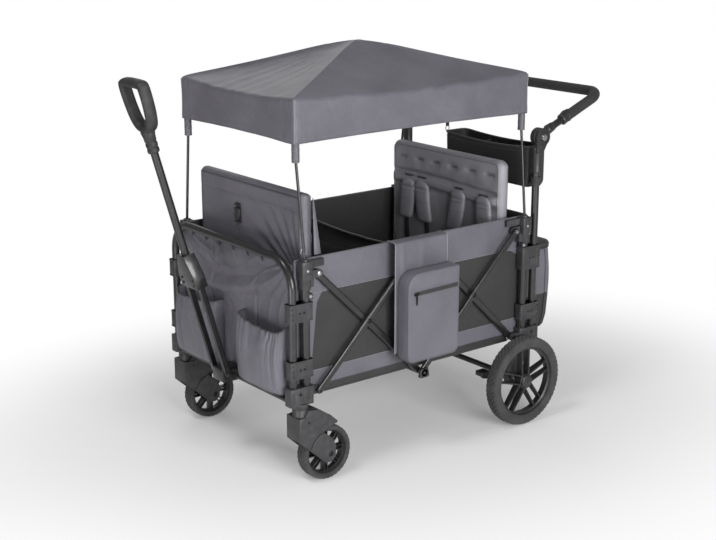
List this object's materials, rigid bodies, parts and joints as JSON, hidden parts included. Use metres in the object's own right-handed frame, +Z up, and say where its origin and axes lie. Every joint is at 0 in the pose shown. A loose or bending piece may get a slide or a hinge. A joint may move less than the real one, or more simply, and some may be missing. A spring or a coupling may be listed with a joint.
{
  "type": "folding wagon",
  "caption": "Folding child wagon with scissor-link frame, swivel casters, large rear wheels, pull handle, push handle, facing seats, fabric tub and canopy.",
  "frame": {"origin": "centre of the unfolded wagon's bounding box, on the floor under the wheels", "axes": "+Z up, -X the pull handle's end, +X the push handle's end, -Y the side with the hanging pocket"},
  "size_m": [1.5186, 0.7606, 1.178],
  "materials": {
    "black_fabric": "black woven polyester",
    "black_paint": "satin black powder coat",
    "board": "fibreboard under black woven polyester",
    "dark_plastic": "dark grey moulded nylon",
    "foam": "black closed-cell foam",
    "grey_fabric": "slate grey woven polyester",
    "rim_plastic": "black moulded plastic",
    "steel": "zinc-plated steel",
    "tyre": "dark grey foam-filled rubber"
  },
  "bodies": {
    "brake": {"brake_pedal_bar": "dark_plastic"},
    "front_posts": {"canopy": "grey_fabric", "fabric_tub": "grey_fabric", "front_pocket_panel": "grey_fabric", "left_front_canopy_pole": "black_paint", "left_front_hub": "dark_plastic", "left_front_pocket": "grey_fabric", "left_front_post": "black_paint", "right_front_canopy_pole": "black_paint", "right_front_hub": "dark_plastic", "right_front_pocket": "grey_fabric", "right_front_post": "black_paint"},
    "front_frame": {"front_crossbar": "black_paint", "front_frame_tube": "black_paint", "left_front_bracket": "dark_plastic", "right_front_bracket": "dark_plastic"},
    "front_board": {"front_floor_board": "board"},
    "front_bench": {"front_seat_bench": "black_fabric"},
    "front_seatback": {"front_seatback": "grey_fabric"},
    "left_caster": {"left_caster_fork": "dark_plastic"},
    "left_caster_wheel": {"left_caster_rim": "rim_plastic", "left_caster_tyre": "tyre"},
    "scissor_b": {"left_front_falling_link": "black_paint", "right_front_falling_link": "black_paint"},
    "scissor_a": {"left_front_rising_link": "black_paint", "right_front_rising_link": "black_paint"},
    "rear_frame": {"left_push_tube": "black_paint", "left_rear_bracket": "dark_plastic", "organizer": "black_fabric", "rear_axle": "steel", "rear_bag": "grey_fabric", "rear_crossbar": "black_paint", "right_push_tube": "black_paint", "right_rear_bracket": "dark_plastic"},
    "rear_posts": {"left_rear_canopy_pole": "black_paint", "left_rear_hub": "dark_plastic", "left_rear_post": "black_paint", "right_rear_canopy_pole": "black_paint", "right_rear_hub": "dark_plastic", "right_rear_post": "black_paint"},
    "scissor_c": {"left_rear_falling_link": "black_paint", "right_rear_falling_link": "black_paint"},
    "left_rear_wheel": {"left_rear_rim": "rim_plastic", "left_rear_tyre": "tyre"},
    "scissor_d": {"left_rear_rising_link": "black_paint", "right_rear_rising_link": "black_paint"},
    "middle_foot": {"middle_crossbar": "black_paint"},
    "pull_fork": {"pull_fork": "black_paint"},
    "pull_grip": {"pull_grip": "dark_plastic"},
    "push_handle": {"push_arms": "black_paint", "push_grip": "foam"},
    "rear_board": {"rear_floor_board": "board"},
    "rear_bench": {"rear_seat_bench": "black_fabric"},
    "rear_seatback": {"rear_seatback": "grey_fabric"},
    "right_caster": {"right_caster_fork": "dark_plastic"},
    "right_caster_wheel": {"right_caster_rim": "rim_plastic", "right_caster_tyre": "tyre"},
    "right_rear_wheel": {"right_rear_rim": "rim_plastic", "right_rear_tyre": "tyre"},
    "middle_strap": {"side_pocket": "grey_fabric"}
  },
  "joints": [
    {"name": "fold", "type": "hinge", "parent": "front_frame", "child": "scissor_a", "pos_m": [-0.36995, 0, 0.266], "axis": [0, -1, 0], "range_deg": [0, 32], "deforming": ["fabric_tub", "canopy"]},
    {"name": "front_scissor_crossing", "type": "hinge", "parent": "scissor_a", "child": "scissor_b", "pos_m": [-0.19799, 0, 0.4345], "axis": [0, -1, 0], "range_deg": [-64, 0]},
    {"name": "front_post_slide", "type": "hinge", "parent": "scissor_b", "child": "front_posts", "pos_m": [-0.36995, 0, 0.603], "axis": [0, -1, 0], "range_deg": [0, 32]},
    {"name": "middle_top_joint", "type": "hinge", "parent": "scissor_a", "child": "scissor_c", "pos_m": [0.00305, 0, 0.6315], "axis": [0, -1, 0], "range_deg": [-64, 0]},
    {"name": "rear_scissor_crossing", "type": "hinge", "parent": "scissor_c", "child": "scissor_d", "pos_m": [0.20409, 0, 0.4345], "axis": [0, -1, 0], "range_deg": [0, 64]},
    {"name": "rear_frame_joint", "type": "hinge", "parent": "scissor_c", "child": "rear_frame", "pos_m": [0.37605, 0, 0.266], "axis": [0, -1, 0], "range_deg": [0, 32]},
    {"name": "rear_post_slide", "type": "hinge", "parent": "scissor_d", "child": "rear_posts", "pos_m": [0.37605, 0, 0.603], "axis": [0, -1, 0], "range_deg": [-32, 0]},
    {"name": "middle_strap_joint", "type": "hinge", "parent": "scissor_a", "child": "middle_strap", "pos_m": [0.00305, 0, 0.6315], "axis": [0, -1, 0], "range_deg": [-32, 0]},
    {"name": "middle_foot_joint", "type": "hinge", "parent": "scissor_b", "child": "middle_foot", "pos_m": [0.00305, 0, 0.2375], "axis": [0, -1, 0], "range_deg": [0, 32]},
    {"name": "front_board_lift", "type": "hinge", "parent": "front_frame", "child": "front_board", "pos_m": [-0.38495, 0, 0.262], "axis": [0, -1, 0], "range_deg": [0, 66]},
    {"name": "rear_board_lift", "type": "hinge", "parent": "rear_frame", "child": "rear_board", "pos_m": [0.39105, 0, 0.262], "axis": [0, -1, 0], "range_deg": [-66, 0]},
    {"name": "front_bench_lift", "type": "hinge", "parent": "front_posts", "child": "front_bench", "pos_m": [-0.30195, 0, 0.42], "axis": [0, -1, 0], "range_deg": [0, 85]},
    {"name": "rear_bench_lift", "type": "hinge", "parent": "rear_posts", "child": "rear_bench", "pos_m": [0.30805, 0, 0.42], "axis": [0, -1, 0], "range_deg": [-85, 0]},
    {"name": "front_seatback_tilt", "type": "hinge", "parent": "front_posts", "child": "front_seatback", "pos_m": [-0.36095, 0, 0.462], "axis": [0, -1, 0], "range_deg": [-60, 0]},
    {"name": "rear_seatback_tilt", "type": "hinge", "parent": "rear_posts", "child": "rear_seatback", "pos_m": [0.36705, 0, 0.462], "axis": [0, 1, 0], "range_deg": [-60, 0]},
    {"name": "pull_handle_tilt", "type": "hinge", "parent": "front_frame", "child": "pull_fork", "pos_m": [-0.49395, 0, 0.262], "axis": [0, -1, 0], "range_deg": [-14, 70]},
    {"name": "pull_handle_slide", "type": "slide", "parent": "pull_fork", "child": "pull_grip", "axis": [-0.2773, 0, 0.9608], "range_m": [-0.25, 0]},
    {"name": "push_handle_tilt", "type": "hinge", "parent": "rear_frame", "child": "push_handle", "pos_m": [0.47205, 0, 0.882], "axis": [0, -1, 0], "range_deg": [-80, 60]},
    {"name": "brake_pedal_press", "type": "hinge", "parent": "rear_frame", "child": "brake", "pos_m": [0.37505, 0, 0.14], "axis": [0, -1, 0], "range_deg": [0, 20]},
    {"name": "left_caster_swivel", "type": "hinge", "parent": "front_frame", "child": "left_caster", "pos_m": [-0.43245, -0.3, 0.2255], "axis": [0, 0, 1], "continuous": true},
    {"name": "left_caster_wheel_spin", "type": "hinge", "parent": "left_caster", "child": "left_caster_wheel", "pos_m": [-0.35145, -0.3, 0.08], "axis": [0, 1, 0], "continuous": true},
    {"name": "left_rear_wheel_spin", "type": "hinge", "parent": "rear_frame", "child": "left_rear_wheel", "pos_m": [0.37505, -0.357, 0.14], "axis": [0, 1, 0], "continuous": true},
    {"name": "right_caster_swivel", "type": "hinge", "parent": "front_frame", "child": "right_caster", "pos_m": [-0.43245, 0.3, 0.2255], "axis": [0, 0, 1], "continuous": true},
    {"name": "right_caster_wheel_spin", "type": "hinge", "parent": "right_caster", "child": "right_caster_wheel", "pos_m": [-0.35145, 0.3, 0.08], "axis": [0, 1, 0], "continuous": true},
    {"name": "right_rear_wheel_spin", "type": "hinge", "parent": "rear_frame", "child": "right_rear_wheel", "pos_m": [0.37505, 0.357, 0.14], "axis": [0, 1, 0], "continuous": true}
  ],
  "couplings": [
    {"joint": "front_scissor_crossing", "follows": "fold", "ratio": -2},
    {"joint": "front_post_slide", "follows": "fold", "ratio": 1},
    {"joint": "middle_top_joint", "follows": "fold", "ratio": -2},
    {"joint": "rear_scissor_crossing", "follows": "fold", "ratio": 2},
    {"joint": "rear_frame_joint", "follows": "fold", "ratio": 1},
    {"joint": "rear_post_slide", "follows": "fold", "ratio": -1},
    {"joint": "middle_strap_joint", "follows": "fold", "ratio": -1},
    {"joint": "middle_foot_joint", "follows": "fold", "ratio": 1},
    {"joint": "front_board_lift", "follows": "fold", "ratio": 2.0625},
    {"joint": "rear_board_lift", "follows": "fold", "ratio": -2.0625},
    {"joint": "front_bench_lift", "follows": "fold", "ratio": 2.6562},
    {"joint": "rear_bench_lift", "follows": "fold", "ratio": -2.6562}
  ]
}
